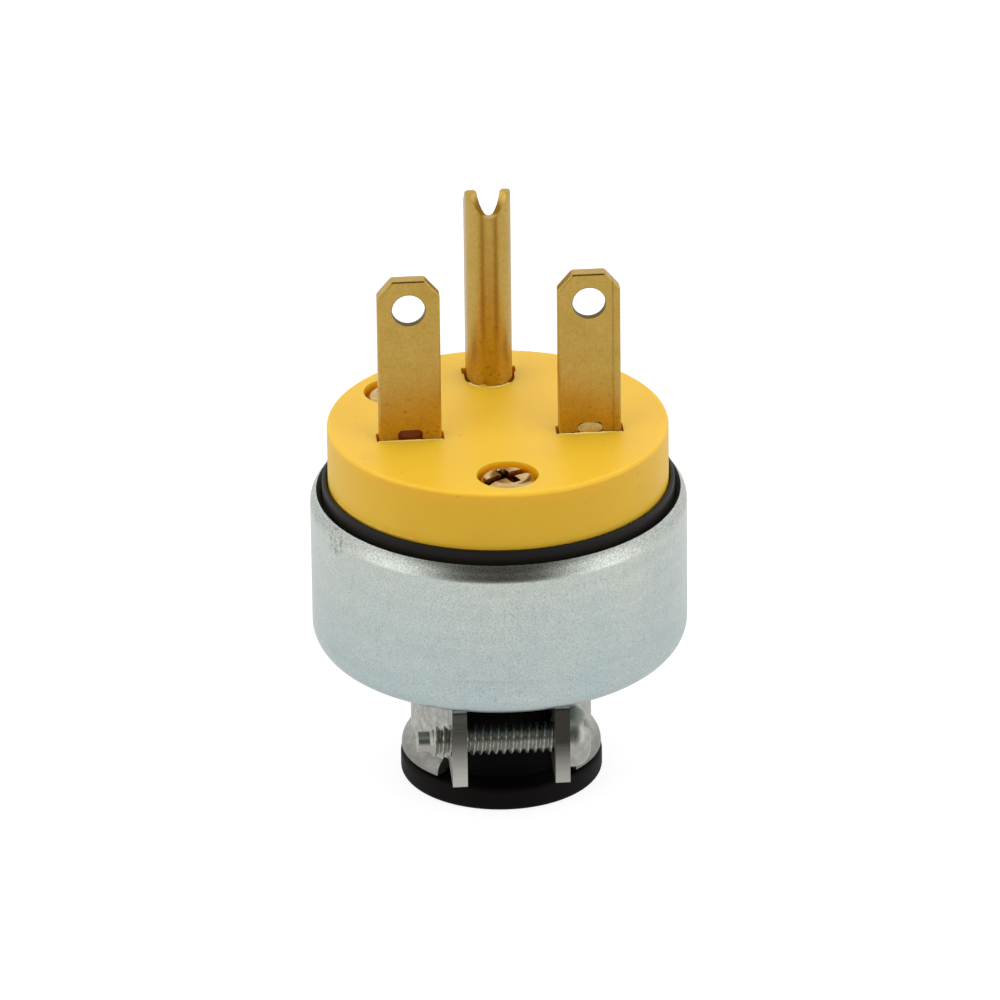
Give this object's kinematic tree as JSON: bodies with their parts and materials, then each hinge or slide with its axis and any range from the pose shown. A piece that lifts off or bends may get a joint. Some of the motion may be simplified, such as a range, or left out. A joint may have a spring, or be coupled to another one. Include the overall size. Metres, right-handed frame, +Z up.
{
  "type": "electrical cord plug",
  "caption": "Armoured electrical cord plug with in-line flat blades, a U-shaped ground pin, a moulded face in a rolled steel shell and a screwed cord clamp.",
  "frame": {"origin": "centre of the underside of the foot flange, on the plug's axis", "axes": "+Z up the axis from the cord end to the blades, +X along the line of the two blades, +Y towards the ground pin"},
  "size_m": [0.0384, 0.0384, 0.0606],
  "materials": {
    "moulded_face": "moulded, satin gloss",
    "stamped_brass": "stamped and rolled brass strip",
    "nickel_screw": "plated screw head",
    "black_liner": "moulded black",
    "zinc_plated_steel": "zinc plated, fine matte grain",
    "zinc_plated_clamp": "zinc plated stamping",
    "zinc_plated_screw": "bright zinc plated",
    "black_rubber": "moulded rubber",
    "brass_screw": "brass screw",
    "green_screw": "green dyed screw"
  },
  "bodies": {
    "root": {"face_body": "moulded_face", "line_blade_left": "stamped_brass", "line_blade_right": "stamped_brass", "ground_pin": "stamped_brass", "face_screws": "nickel_screw", "insulating_liner": "black_liner", "steel_shell": "zinc_plated_steel", "clamp_half_left": "zinc_plated_clamp", "clamp_half_right": "zinc_plated_clamp", "clamp_screws": "zinc_plated_screw", "cord_grommet": "black_rubber", "line_terminal_screws": "brass_screw", "ground_terminal_screw": "green_screw"}
  },
  "joints": []
}
